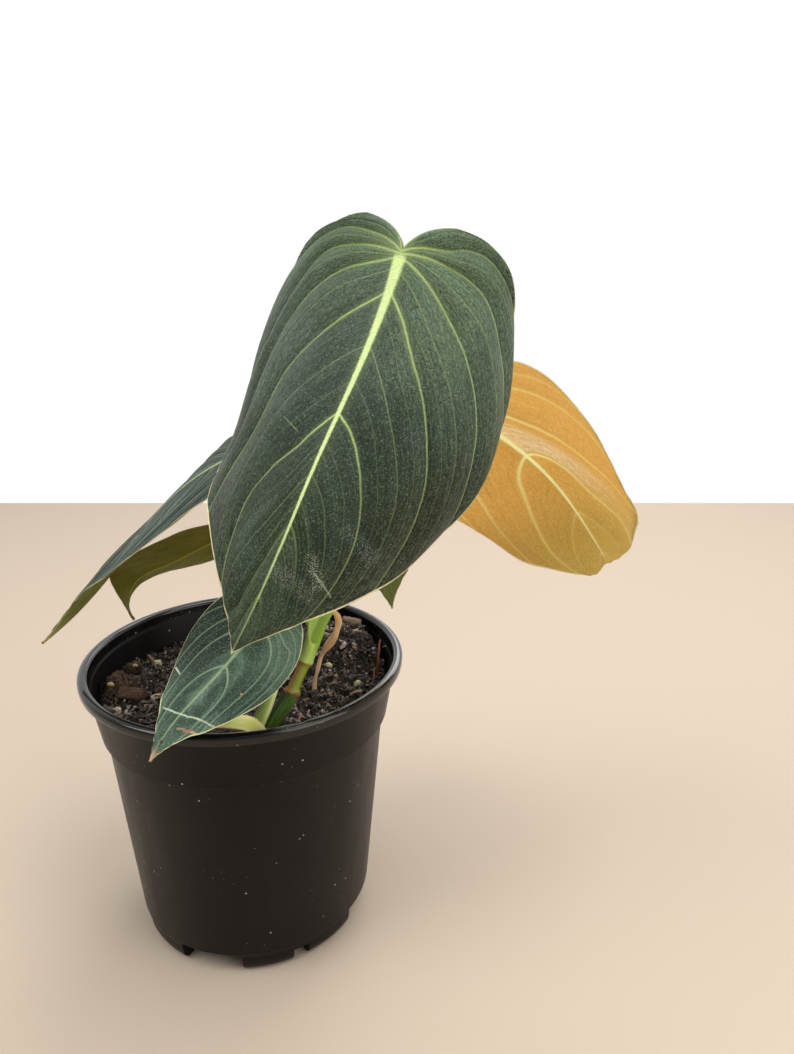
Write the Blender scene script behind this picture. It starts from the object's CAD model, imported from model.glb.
import math
from types import SimpleNamespace

import bmesh
import bpy
import numpy as np
from mathutils import Euler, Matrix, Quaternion, Vector


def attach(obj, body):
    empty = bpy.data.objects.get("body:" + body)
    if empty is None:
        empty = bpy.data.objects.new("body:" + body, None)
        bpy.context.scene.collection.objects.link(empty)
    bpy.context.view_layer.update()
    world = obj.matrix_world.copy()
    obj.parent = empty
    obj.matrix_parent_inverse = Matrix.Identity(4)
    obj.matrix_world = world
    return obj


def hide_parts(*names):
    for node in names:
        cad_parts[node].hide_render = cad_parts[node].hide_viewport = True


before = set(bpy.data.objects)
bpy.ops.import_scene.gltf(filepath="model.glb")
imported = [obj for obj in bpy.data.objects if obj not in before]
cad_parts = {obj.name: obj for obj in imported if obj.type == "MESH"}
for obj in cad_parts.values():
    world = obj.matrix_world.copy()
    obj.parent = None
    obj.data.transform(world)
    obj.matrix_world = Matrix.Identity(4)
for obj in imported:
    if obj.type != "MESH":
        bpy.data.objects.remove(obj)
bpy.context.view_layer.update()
MM = 0.001

# Shape of a blade
# Half outline from the sinus to the tip, as shares of the half width and of the length
OUTLINE = np.array([
    (0.27, -0.107), (0.46, -0.103), (0.69, -0.064), (0.89, 0.037), (0.99, 0.152),
    (1.01, 0.288), (0.98, 0.423), (0.87, 0.565), (0.69, 0.702), (0.46, 0.786),
    (0.24, 0.873), (0.08, 0.949), (0.0, 1.0),
])
# Vein lines 0, at the sinus, to 8, at the tip: root on the midrib as a share of the length, end as a
# place along OUTLINE, and angles from the midrib at both
VEIN_ROOT = [-0.022, -0.017, -0.012, -0.006, 0.077, 0.382, 0.66, 0.84, 1]
VEIN_END = [0, 2.54, 4.64, 6.87, 8.44, 9.87, 10.5, 11.3, 12]
VEIN_OUT_DEG = [164, 133, 105, 71, 52, 57, 51, 38, 24]
VEIN_IN_DEG = [100, 59, 12, -1, -13, -23, -25, -24, -20]
VEIN_BOW = 0.36

# base, length and half widths in mm. heading, rise, roll and fold in degrees at even steps along the
# midrib. curl: degrees across a half. tip: degrees, and the share where its bend starts. Side 1 is the
# right, -1 the left. push: swells of the outline, each with its side, first and last place along
# OUTLINE, and shares of the half width and of the length.
LEAVES = {
    "front": dict(
        base=(58.6, -44.7, 248.3), length=119.8, right=51.8, left=60.4,
        heading=(223.6, 217.1, 207.3, 182.4), rise=(-66.7, -59.1, -63.9, -62.4), roll=(46.4, 29.2, 72),
        fold={-1: (-24.3, -3.4, -4.5, -11.9), 1: (14.5, 10.7, -6.1, -5)}, curl={-1: -55, 1: -92},
        quilt=1.5, wave=0.15, push=((-1, 0, 2.7, 0, 0.024),),
    ),
    "right": dict(
        base=(72.6, -2.9, 204.9), length=123.7, right=44.2, left=41,
        heading=(40.1, 27.6, 10.4, 15.1), rise=(-25.6, -35, -54.6, -62.3), roll=(55.4, 49.8, 86.4),
        fold={-1: (-12.9, -15.2, -18.1, -13.4), 1: (0.5, -6.6, -13.1, -25.8)}, curl={-1: -38.5, 1: 4.8},
        tip=(74.7, 0.7), quilt=0.8, wave=0.2,
        push=(
            (1, 7, 10.5, 0.028, 0), (1, 9.5, 12, 0.037, 0),
            (-1, 7, 10.5, -0.046, 0), (-1, 9.5, 12, -0.03, 0),
        ),
    ),
    "left": dict(
        base=(1.4, -3.5, 184.3), length=99.9, right=30.1, left=32.9,
        heading=(184.6, 177.5, 188.5, 228.9), rise=(-22.8, -45.4, -49.7, -32.8), roll=(8.9, 10, -1.2),
        fold={-1: (3.6, -4.8, 1.2, -5.7), 1: (-2.6, -2, 16.3, 56.9)}, curl={-1: -11, 1: 4},
        tip=(8, 0.77), quilt=0.7, wave=0.15,
    ),
    "back_left": dict(
        base=(0.7, 11.2, 154.4), length=75.2, right=23.3, left=23.3,
        heading=(174, 168, 162, 231), rise=(-21, -30, -32, -122), roll=(-26, -21, -18),
        fold={-1: (-5, -2, 3, 0), 1: (-5, 0, -1, -9)}, curl={-1: 1, 1: 5},
        quilt=0.5, wave=0.15,
    ),
    "back": dict(
        base=(41.5, -9, 201), length=80, right=23, left=24,
        heading=(43, 43, 43, 43), rise=(-68, -76, -78, -74), roll=(0, 4, 8),
        fold={-1: (-10, -8, -8, -8), 1: (-10, -8, -8, -8)}, curl={-1: -12, 1: -12},
        quilt=0.5, wave=0.15,
    ),
    "low": dict(
        base=(14.9, -31.1, 136.4), length=58.3, right=17.7, left=18.5,
        heading=(239, 231, 225, 233), rise=(-27, -30, -32, -48), roll=(26, 12, 5),
        fold={-1: (0, -2, -8, -9), 1: (-15, -13, -1, -3)}, curl={-1: 5, 1: -7},
        quilt=0.5, wave=0.15,
    ),
}

# How far each main vein leaves its even place, at a fifth, two fifths ... of its length.
DRIFT = {
    ("front", 1): {
        1: (0.42, 0.09, -0.04, 0.03, 0.1), 2: (0.08, 0.03, 0.16, 0.14, 0.05),
        3: (0.16, 0.07, -0.03, -0.03, -0.03), 4: (0.14, 0.06, -0.06, -0.04, 0),
        5: (-0.04, -0.04, -0.08, -0.05, 0), 6: (0.07, 0.17, 0.25, 0.15, 0), 7: (0.03, 0.08, 0.1, 0.05, 0),
    },
    ("front", -1): {
        1: (0.26, 0.23, 0.3, 0.22, 0.1), 2: (-0.02, 0, 0.6, 0.6, 0.4), 3: (-0.3, -0.15, 0.28, 0.5, 0.4),
        4: (-0.07, -0.02, 0.16, 0.1, 0.05), 5: (0.12, 0.07, 0, 0.2, 0.4), 6: (0.33, 0.6, 0.75, 0.6, 0.4),
        7: (0.15, 0.3, 0.4, 0.3, 0.2),
    },
    ("right", -1): {
        2: (0, -0.1, -0.2, -0.2, 0), 3: (-0.15, -0.3, -0.4, -0.4, -0.2), 4: (0.28, 0.24, 0, -0.4, -0.4),
        5: (0, 0.18, 0, -0.3, -0.3),
    },
    ("right", 1): {4: (0, 0, -0.05, -0.11, 0.1), 5: (-0.04, 0.03, 0, -0.1, 0)},
    ("low", 1): {
        2: (-0.1, -0.3, -0.4, -0.2, 0), 3: (-0.2, -0.5, -0.8, 0, 0.2), 4: (-0.4, -0.4, 0.2, 0.2, 0.1),
    },
}


def within(u, last):
    """The step from 0 to last that u falls in, and its share of that step."""
    u = np.clip(np.asarray(u, float), 0, last)
    i = np.minimum(last - 1, np.floor(u).astype(int))
    return i, u - i


def spline(a, b, c, d, f):
    """Smooth value at share f of the way from b to c, between their neighbours a and d."""
    second = (2 * a - 5 * b + 4 * c - d) * f ** 2
    third = (3 * b - a - 3 * c + d) * f ** 3
    return 0.5 * (2 * b + (c - a) * f + second + third)


def curve(values, u):
    """Smooth curve through evenly spaced values."""
    v = np.asarray(values, float)
    last = len(v) - 1
    i, f = within(u, last)
    b, c = v[i], v[i + 1]
    a = np.where(i > 0, v[np.maximum(i - 1, 0)], 2 * b - c)
    d = np.where(i + 2 <= last, v[np.minimum(i + 2, last)], 2 * c - b)
    return spline(a, b, c, d, f)


def steady(values, u):
    """Smooth curve through evenly spaced values that never overshoots them."""
    v = np.asarray(values, float)
    rise = np.diff(v)
    slope = np.zeros(len(v))
    slope[0], slope[-1] = rise[0], rise[-1]
    both = rise[:-1] * rise[1:]
    slope[1:-1] = np.where(both <= 0, 0, 2 * both / np.where(both <= 0, 1, rise[:-1] + rise[1:]))
    i, f = within(u, len(v) - 1)
    g = 1 - f
    ends = v[i] * (1 + 2 * f) * g * g + v[i + 1] * (3 - 2 * f) * f * f
    return ends + slope[i] * f * g * g - slope[i + 1] * f * f * g


def drifted(name, side, s, t):
    """The even place of vein line s at share t, once its drift is added."""
    table = np.zeros((9, 6))
    for vein, shifts in DRIFT.get((name, side), {}).items():
        table[vein, 1:] = shifts
    lines = np.stack([steady(table[:, k], s) for k in range(6)], -1)
    i, f = within(t * 5, 5)

    def pick(k):
        return np.take_along_axis(lines, np.clip(k, 0, 5)[..., None], -1)[..., 0]

    shift = spline(pick(i - 1), pick(i), pick(i + 1), pick(i + 2), f)
    return np.clip(s + shift, 0, 8)


def flat_point(leaf, side, s, t):
    """Place of vein line s at share t on the flat half, in mm, and the line's length."""
    length, half = leaf["length"], leaf["right" if side > 0 else "left"]
    end = steady(VEIN_END, s)
    end_x = curve(OUTLINE[:, 0], end) * half
    end_y = curve(OUTLINE[:, 1], end) * length
    for which, low, high, wide, long in leaf.get("push", ()):
        if which == side:
            swell = np.sin(np.pi * np.clip((end - low) / (high - low), 0, 1)) ** 2
            end_x = end_x + swell * wide * half
            end_y = end_y + swell * long * length
    root = steady(VEIN_ROOT, s) * length
    reach = np.hypot(end_x, end_y - root)
    out, into = np.radians(steady(VEIN_OUT_DEG, s)), np.radians(steady(VEIN_IN_DEG, s))
    bow = reach * VEIN_BOW
    g = 1 - t
    k1, k2, k3 = 3 * g * g * t, 3 * g * t * t, t ** 3
    x = k1 * np.sin(out) * bow + k2 * (end_x - np.sin(into) * bow) + k3 * end_x
    y = g ** 3 * root + k1 * (root + np.cos(out) * bow) + k2 * (end_y - np.cos(into) * bow) + k3 * end_y
    return np.maximum(x, 0), y, reach


def midrib_of(leaf, steps=240):
    """Shares along the midrib, and there its place and its three directions."""
    u = np.linspace(0, 1, steps + 1)
    h, e, r = (np.radians(curve(leaf[k], u * (len(leaf[k]) - 1))) for k in ("heading", "rise", "roll"))
    tangent = np.stack([np.cos(e) * np.cos(h), np.cos(e) * np.sin(h), np.sin(e)], 1)
    level = np.stack([-np.sin(e) * np.cos(h), -np.sin(e) * np.sin(h), np.cos(e)], 1)
    side = np.cross(level, tangent)
    c, s = np.cos(r)[:, None], np.sin(r)[:, None]
    upper, right = level * c + side * s, side * c - level * s
    angle, start = leaf.get("tip", (0, 1))
    w = np.clip((u - start) / max(1e-6, 1 - start), 0, 1)
    turn = np.radians(angle * w * w * (1.5 - 0.5 * w))[:, None]
    ahead = tangent * np.cos(turn) + upper * np.sin(turn)
    upper = upper * np.cos(turn) - tangent * np.sin(turn)
    centre = np.zeros_like(ahead)
    centre[1:] = np.cumsum((ahead[1:] + ahead[:-1]) / 2 * (leaf["length"] / steps), 0)
    return u, centre + np.array(leaf["base"]), ahead, upper, right


def bend(leaf, side, x, y):
    """Bends flat points into place. Returns the points and the upper normals."""
    u, centre, tangent, upper, right = midrib_of(leaf)
    along = np.clip(y / leaf["length"], 0, 1)

    def at(rows):
        return np.stack([np.interp(along, u, rows[:, k]) for k in range(3)], -1)

    c, t, n, b = at(centre), at(tangent), at(upper), at(right) * side
    c = c + t * np.minimum(y, 0)[..., None]
    folds = leaf["fold"][side]
    fold = np.radians(curve(folds, along * (len(folds) - 1)))
    half = leaf["right" if side > 0 else "left"]
    turn = math.radians(leaf["curl"][side] or 0.01) / half
    angle = fold + turn * x
    across = (np.sin(angle) - np.sin(fold)) / turn
    lift = (np.cos(fold) - np.cos(angle)) / turn
    point = c + b * across[..., None] + n * lift[..., None]
    normal = n * np.cos(angle)[..., None] - b * np.sin(angle)[..., None]
    normal = np.where((x < 1e-6)[..., None], n, normal)
    return point, normal / np.linalg.norm(normal, axis=-1, keepdims=True)


# Meshes
def mesh_object(name, points, faces, attributes=None, materials=(), slots=None, smooth=True, sharp=None):
    """A mesh from points in mm. faces is an array, or a list of them, with a row for each face."""
    groups = [np.asarray(g, np.int32) for g in (faces if isinstance(faces, list) else [faces])]
    mesh = bpy.data.meshes.new(name)
    points = np.asarray(points, np.float32) * MM
    mesh.vertices.add(len(points))
    mesh.vertices.foreach_set("co", points.ravel())
    loops = np.concatenate([g.ravel() for g in groups])
    sizes = np.concatenate([np.full(len(g), g.shape[1]) for g in groups])
    starts = np.concatenate([[0], np.cumsum(sizes)[:-1]])
    mesh.loops.add(len(loops))
    mesh.loops.foreach_set("vertex_index", loops)
    mesh.polygons.add(len(sizes))
    mesh.polygons.foreach_set("loop_start", starts.astype(np.int32))
    mesh.update(calc_edges=True)
    mesh.validate(verbose=False)
    for key, values in (attributes or {}).items():
        values = np.asarray(values, np.float32)
        kind = "FLOAT" if values.ndim == 1 else "FLOAT_VECTOR"
        layer = mesh.attributes.new(key, kind, "POINT")
        layer.data.foreach_set("value" if kind == "FLOAT" else "vector", values.ravel())
    for material in materials:
        mesh.materials.append(material)
    if slots is not None:
        mesh.polygons.foreach_set("material_index", np.asarray(slots, np.int32))
    mesh.polygons.foreach_set("use_smooth", np.full(len(mesh.polygons), bool(smooth)))
    if sharp:
        mesh.set_sharp_from_angle(angle=math.radians(sharp))
    mesh.update()
    piece = bpy.data.objects.new(name, mesh)
    bpy.context.scene.collection.objects.link(piece)
    return piece


def belongs(piece, node):
    """Puts a piece on the body, in the place of a node where it has one."""
    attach(piece, "root")
    if node:
        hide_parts(node)


BLADE_MM = 0.5
# Relief in mm of the main veins, the veins between them and the midrib, on the upper and lower face
TOP_RELIEF = (-0.3, -0.12, 0.22)
LOW_RELIEF = (-0.28, -0.1, -1.25)
# The rows end before this vein line, where a fan closes the tip. Columns lie closer at the midrib.
LAST_ROW = 7.93
COLUMN_EASE = 1.15
# Rows of points from one main vein to the next: close together at the veins and half way
UNIT = [
    0, 0.02, 0.045, 0.08, 0.13, 0.2, 0.28, 0.36, 0.43, 0.47,
    0.5, 0.53, 0.57, 0.64, 0.72, 0.8, 0.87, 0.92, 0.955, 0.98,
]


def place(name, side, s, t):
    """Flat place of vein line s at share t, drift included, and the line's length."""
    return flat_point(LEAVES[name], side, drifted(name, side, s, t), t)


def vein_gap(name, side, s, t):
    """Distance in mm from one main vein to the next, across them."""
    d = 1e-3
    x, y, _ = place(name, side, s, t)
    next_x, next_y, _ = place(name, side, np.minimum(s + d, 8), t)
    out_x, out_y, _ = place(name, side, s, np.clip(t + d, 0, 1))
    in_x, in_y, _ = place(name, side, s, np.clip(t - d, 0, 1))
    along = np.stack([out_x - in_x, out_y - in_y], -1)
    along /= np.maximum(np.linalg.norm(along, axis=-1, keepdims=True), 1e-9)
    return np.abs((next_x - x) / d * along[..., 1] - (next_y - y) / d * along[..., 0])


def blade_surface(name, side, s, t):
    """Points of the upper and the lower face, and what the shaders need there."""
    leaf = LEAVES[name]
    x, y, reach = place(name, side, s, t)
    down = y / leaf["length"]
    gap = vein_gap(name, side, s, t)
    point, normal = bend(leaf, side, x, y)
    inner = np.clip(t / 0.2, 0, 1)
    puff = leaf["quilt"] * (np.abs(np.sin(np.pi * s)) - 0.5) * inner * (1 - 0.7 * t ** 4)
    puff = puff * np.clip(gap / 8, 0.2, 1)
    wave = leaf["wave"] * np.sin(2.3 * np.pi * s + 1.4 * side) * t ** 3
    rise = (puff + wave) * np.clip((8 - s) * 0.8, 0, 1)
    from_main = np.abs((s + 0.5) % 1 - 0.5) * gap
    from_second = np.abs(s % 1 - 0.5) * gap
    vein = np.exp(-((from_main / 0.55) ** 2)) * (1 - 0.75 * t) * inner
    second = np.exp(-((from_second / 0.4) ** 2)) * (1 - 0.6 * t) * inner
    rib_half = (1.75 * np.clip(1 - down, 0, 1) ** 0.8 + 0.25) * (leaf["length"] / 120) ** 0.5
    rib = np.exp(-((x / rib_half) ** 4))
    half = BLADE_MM * 0.5 * (1 - 0.75 * np.clip((t - 0.93) / 0.07, 0, 1) ** 2)
    rib_low = rib * np.clip(1 - 0.75 * down, 0.1, 1)
    top = rise + half + TOP_RELIEF[0] * vein + TOP_RELIEF[1] * second + TOP_RELIEF[2] * rib
    low = rise - half + LOW_RELIEF[0] * vein + LOW_RELIEF[1] * second + LOW_RELIEF[2] * rib_low
    edge = (1 - t) * reach * np.clip(np.abs(np.sin(np.radians(45 + 5 * s))), 0.4, 1)
    return (
        point + normal * top[..., None], point + normal * low[..., None],
        np.stack([s, t, gap], -1), np.stack([x * side, y, edge], -1),
    )


def blade(name, materials, columns):
    """A fine closed blade: both faces, joined by a narrow wall along the outline and the sinus."""
    s = np.array([i + f for i in range(8) for f in UNIT if i + f < LAST_ROW])
    t = np.linspace(0, 1, columns + 1) ** COLUMN_EASE
    rows = len(s)
    stores = [], [], [], []
    quads, tris, boundary = [], [], []

    def keep(parts):
        for store, part in zip(stores, parts):
            store.append(part.reshape(-1, 3))

    keep(blade_surface(name, 1, s, np.zeros(rows)))
    keep(blade_surface(name, 1, np.array([8.0]), np.zeros(1)))
    tip_at = rows
    count = rows + 1
    for side in (1, -1):
        keep(blade_surface(name, side, *np.meshgrid(s, t[1:], indexing="ij")))
        grid = np.empty((rows, columns + 1), int)
        grid[:, 0] = np.arange(rows)
        grid[:, 1:] = count + np.arange(rows * columns).reshape(rows, columns)
        count += rows * columns
        quad = np.stack([grid[:-1, :-1], grid[1:, :-1], grid[1:, 1:], grid[:-1, 1:]], -1).reshape(-1, 4)
        fan = np.stack([grid[-1, :-1], np.full(columns, tip_at), grid[-1, 1:]], -1)
        edge = np.concatenate([grid[0, :], grid[1:, -1], [tip_at]])
        quads.append(quad if side > 0 else quad[:, ::-1])
        tris.append(fan if side > 0 else fan[:, ::-1])
        boundary.append(edge if side > 0 else edge[::-1])
    top, low, facts, spots = map(np.concatenate, stores)
    total = len(top)
    walls = [np.stack([edge[1:], edge[:-1], edge[:-1] + total, edge[1:] + total], -1) for edge in boundary]
    upper_quads, upper_tris, walls = map(np.concatenate, (quads, tris, walls))
    lower_quads, lower_tris = upper_quads[:, ::-1] + total, upper_tris[:, ::-1] + total
    faces = [upper_quads, lower_quads, walls, upper_tris, lower_tris]
    slots = np.repeat([0, 1, 1, 0, 1], [len(group) for group in faces])
    attributes = {"vein": np.concatenate([facts, facts]), "spot": np.concatenate([spots, spots])}
    return mesh_object(f"blade_{name}", np.concatenate([top, low]), faces, attributes, materials, slots)


def ring_quads(count, sides, start=0):
    """Quads from each ring of points to the next, up to ring number count."""
    k = np.arange(sides)
    after = np.roll(k, -1)
    base = start + sides * np.arange(count)[:, None]
    return np.stack([base + k, base + after, base + sides + after, base + sides + k], -1).reshape(-1, 4)


def tube(stations, sides=20, steps=10, flat=1.0, ref=(0, -1, 0.2), swell=None):
    """Points, quads, end faces and three facts at each point: distance along, angle round and share."""
    rows = np.array(stations, float)
    count = (len(rows) - 1) * steps
    u = np.arange(count + 1) / steps
    centre = np.stack([curve(rows[:, k], u) for k in range(3)], 1)
    radius = curve(rows[:, 3], u)
    ahead = np.gradient(centre, axis=0)
    ahead /= np.linalg.norm(ahead, axis=1, keepdims=True)
    thin = np.array(ref, float) - ahead * (ahead @ np.array(ref, float))[:, None]
    thin /= np.linalg.norm(thin, axis=1, keepdims=True)
    wide = np.cross(thin, ahead)
    angle = np.arange(sides) / sides * 2 * np.pi
    across, over = np.cos(angle)[None, :, None], (flat * np.sin(angle))[None, :, None]
    ring = wide[:, None] * across + thin[:, None] * over
    size = radius[:, None] * np.ones(sides)[None]
    if swell is not None:
        size = size + swell(u[:, None] / (len(rows) - 1), angle[None])
    points = (centre[:, None] + ring * size[..., None]).reshape(-1, 3)
    run = np.concatenate([[0], np.cumsum(np.linalg.norm(np.diff(centre, axis=0), axis=1))])
    share = np.repeat(u / (len(rows) - 1), sides)
    facts = np.stack([np.repeat(run, sides), np.tile(angle, count + 1), share], 1)
    caps = [[0, j + 1, j] for j in range(1, sides - 1)]
    last = count * sides
    caps += [[last, last + j, last + j + 1] for j in range(1, sides - 1)]
    return points, ring_quads(count, sides), np.array(caps), facts


def tube_object(name, stations, material, **options):
    """A limb as a piece of its own."""
    points, quads, caps, facts = tube(stations, **options)
    return mesh_object(name, points, [quads, caps], {"limb": facts}, [material], sharp=60)


# Materials
def srgb(text):
    """The linear values of a colour such as #a8be76."""
    shares = [v / 255 for v in bytes.fromhex(text[1:])]
    return [((v + 0.055) / 1.055) ** 2.4 if v > 0.04 else v / 12.92 for v in shares]


class Value:
    """A number in a node tree. It takes plain arithmetic and soft steps."""

    def __init__(self, shader, node, output=0):
        self.shader = shader
        self.socket = node.outputs[output]

    def __add__(self, other):
        return self.shader.math("ADD", self, other)

    def __sub__(self, other):
        return self.shader.math("SUBTRACT", self, other)

    def __rsub__(self, other):
        return self.shader.math("SUBTRACT", other, self)

    def __mul__(self, other):
        return self.shader.math("MULTIPLY", self, other)

    def __truediv__(self, other):
        return self.shader.math("DIVIDE", self, other)

    def __pow__(self, other):
        return self.shader.math("POWER", self, other)

    def __abs__(self):
        return self.shader.math("ABSOLUTE", self)

    def step(self, low, high, first=0, last=1):
        """Goes softly from first, at low, to last, at high."""
        ends = (self, low, high, first, last)
        made = self.shader.node("ShaderNodeMapRange", ends, interpolation_type="SMOOTHSTEP")
        return Value(self.shader, made)

    def fall(self, low, high):
        """Goes softly from 1, at low, to 0, at high."""
        return self.step(low, high, 1, 0)

    def between(self, low, high, soft):
        """1 between low and high, going softly to 0 at both."""
        return self.step(low, low + soft) * self.fall(high - soft, high)


class Shader:
    """The node tree of a material or a world, built from plain calls."""

    SOCKETS = {
        "color": "Base Color", "rough": "Roughness", "normal": "Normal", "sheen": "Sheen Weight",
        "sheen_rough": "Sheen Roughness", "sheen_tint": "Sheen Tint", "specular": "Specular IOR Level",
        "coat": "Coat Weight", "coat_rough": "Coat Roughness",
    }

    def __init__(self, name, kind="materials"):
        self.owner = getattr(bpy.data, kind).new(name)
        self.owner.use_nodes = True
        self.tree = self.owner.node_tree
        self.bsdf = self.tree.nodes.get("Principled BSDF")

    def link(self, value, socket):
        """Gives a socket a node's output, a colour, a vector or a number."""
        if isinstance(value, str):
            value = srgb(value)
        if isinstance(value, Value):
            value = value.socket
        if isinstance(value, bpy.types.NodeSocket):
            self.tree.links.new(value, socket)
        elif isinstance(value, (tuple, list)):
            socket.default_value = (*value, 1.0)[:len(socket.default_value)]
        else:
            socket.default_value = value

    def node(self, kind, inputs=(), **props):
        """A new node. Its inputs come in the order of its sockets, or by name or number."""
        made = self.tree.nodes.new(kind)
        for key, value in props.items():
            setattr(made, key, value)
        named = inputs if isinstance(inputs, dict) else dict(enumerate(inputs))
        for key, value in named.items():
            self.link(value, made.inputs[key])
        return made

    def math(self, how, *values, clamp=False):
        return Value(self, self.node("ShaderNodeMath", values, operation=how, use_clamp=clamp))

    def mix(self, share, first, second):
        mixed = self.node("ShaderNodeMix", {0: share, 6: first, 7: second}, data_type="RGBA")
        return mixed.outputs[2]

    def split(self, vector):
        apart = self.node("ShaderNodeSeparateXYZ", [vector])
        return [Value(self, apart, k) for k in range(3)]

    def parts(self, key):
        """The three values stored at each point under a name."""
        return self.split(self.node("ShaderNodeAttribute", attribute_name=key).outputs["Vector"])

    def where(self):
        return self.node("ShaderNodeTexCoord").outputs["Object"]

    def stretch(self, vector, scale):
        return self.node("ShaderNodeVectorMath", [vector, scale], operation="MULTIPLY").outputs[0]

    def combine(self, x, y, z=0):
        return self.node("ShaderNodeCombineXYZ", [x, y, z]).outputs[0]

    def noise(self, vector, scale, detail=3, rough=0.55):
        given = {"Vector": vector, "Scale": scale, "Detail": detail, "Roughness": rough}
        return Value(self, self.node("ShaderNodeTexNoise", given), "Fac")

    def cells(self, vector, scale, feature="F1"):
        given = {"Vector": vector, "Scale": scale}
        return Value(self, self.node("ShaderNodeTexVoronoi", given, feature=feature), "Distance")

    def bump(self, height, strength, distance):
        given = {"Height": height, "Strength": strength, "Distance": distance}
        return self.node("ShaderNodeBump", given).outputs[0]

    def set(self, **values):
        for key, value in values.items():
            self.link(value, self.bsdf.inputs[self.SOCKETS[key]])
        return self.owner


def vein_line(s, gap, width, soft):
    """1 on the lines where s is whole, over a width in mm, and 0 away from them."""
    away = abs(s.shader.math("FRACT", s + 0.5) - 0.5) * gap
    return away.fall(width * 0.5, width * 0.5 + soft)


def blade_veins(sh, look, here, s, t, gap):
    """Masks of the main veins, those half way between them, the fine strands, and all of them."""
    line = s + (sh.noise(here, 90, 2) - 0.5) * 0.05
    wide = look.vein_mm
    fade = (t * -look.fade + 1) * s.step(5.2, 5.9, 1, look.late)
    speckle = sh.noise(here, 2600, 2, 0.7).step(0.3, 0.6, 0.55, 1)
    main = vein_line(line, gap, t * (-wide * 0.6) + wide, 0.18) * fade * speckle
    second = vein_line(line + 0.5, gap, wide * 0.3, 0.22) * fade * look.second
    third = vein_line(line * 2 + 0.5, gap * 0.5, wide * 0.2, 0.2) * look.third
    broken = sh.noise(sh.combine(s * 6, t * 14), 1, 2).step(0.42, 0.62)
    strand = vein_line(line * 12, gap * (1 / 12), 0.08, 0.22) * broken * look.strand
    veins = sh.math("MAXIMUM", sh.math("MAXIMUM", main, second), sh.math("MAXIMUM", third, strand))
    beside = vein_line(line, gap, 0.3, 1.5) * t.step(0, look.flow, look.bleed, 0)
    beside = beside * s.step(look.late_from, look.late_from + 0.8, 1, 0.15)
    return main, second, strand, veins, beside


def blade_rib(sh, look, here, x, y, length):
    """Masks of the midrib, which thins from a knot at the stalk to the tip, and of the glow beside it."""
    slim = sh.math("MAXIMUM", 1 - y / length, 0)
    fuzz = (sh.noise(here, 1900, 3, 0.7) - 0.5) * (slim + 0.25)
    half = slim ** look.taper * look.rib_mm + look.rib_end
    half = sh.math("MINIMUM", slim, 1) ** 14 * look.knot_mm + half
    rib = (abs(x) + fuzz).fall(half * 0.55, half * 1.05 + 0.2)
    rib = rib * slim.step(0, 0.45, look.rib_fade, 1) * y.step(-2.2, 0.4)
    return rib, abs(x).step(0, 4, look.glow, 0) * slim * slim


def blade_ground(sh, look, here, s, t, x, y, grain, scale):
    """The skin between the veins: mottled, streaked along them, scaly near the margin, and grained."""
    spread = sh.noise(here, 42, 4, 0.6)
    patch = sh.noise(here, 130, 4, 0.65)
    ground = sh.mix(spread.step(0.38, 0.62), look.ground, look.ground_2)
    ground = sh.mix(patch.step(0.45, 0.7) * 0.5, ground, look.ground_3)
    if look.streaks:
        bands = sh.noise(sh.combine(s * look.streak_s, t * 1.3), 1, look.streak_fine, 0.6)
        ground = sh.mix(bands.step(0.5, 0.68) * look.streaks, ground, look.streak)
        ground = sh.mix(bands.step(0.48, 0.32) * look.streak_deep, ground, look.dark)
    for colour, mask in look.zones(sh, s, t, x, y, spread) if look.zones else ():
        ground = sh.mix(mask, ground, colour)
    scaly = t.step(0.45, 0.9, look.scales, look.scales_out or look.scales)
    ground = sh.mix(scale.fall(0.02, 0.2) * scaly, ground, look.dark)
    ground = sh.mix(grain.fall(0.3, 0.48) * look.pits, ground, look.dark)
    ground = sh.mix(grain.step(0.54, 0.74) * look.grain, ground, look.fleck)
    dust = sh.math("LESS_THAN", sh.cells(here, 900), 0.16) * sh.noise(here, 160, 2).step(0.5, 0.72)
    return sh.mix(dust * look.dust, ground, look.dust_colour)


def mark_mask(sh, x, y, start, end, width, share):
    """A scratch between two places on the flat blade, in mm."""
    dx, dy = end[0] - start[0], end[1] - start[1]
    size = dx * dx + dy * dy
    px = x - start[0]
    py = y - start[1]
    along = sh.math("MULTIPLY_ADD", px, dx / size, py * (dy / size), clamp=True)
    ox = along * -dx + px
    oy = along * -dy + py
    rag = (sh.noise(sh.where(), 1800, 2) - 0.5) * (width * 1.6)
    away = sh.math("SQRT", ox * ox + oy * oy) + rag
    return away.fall(width * 0.3, width) * share


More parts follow.
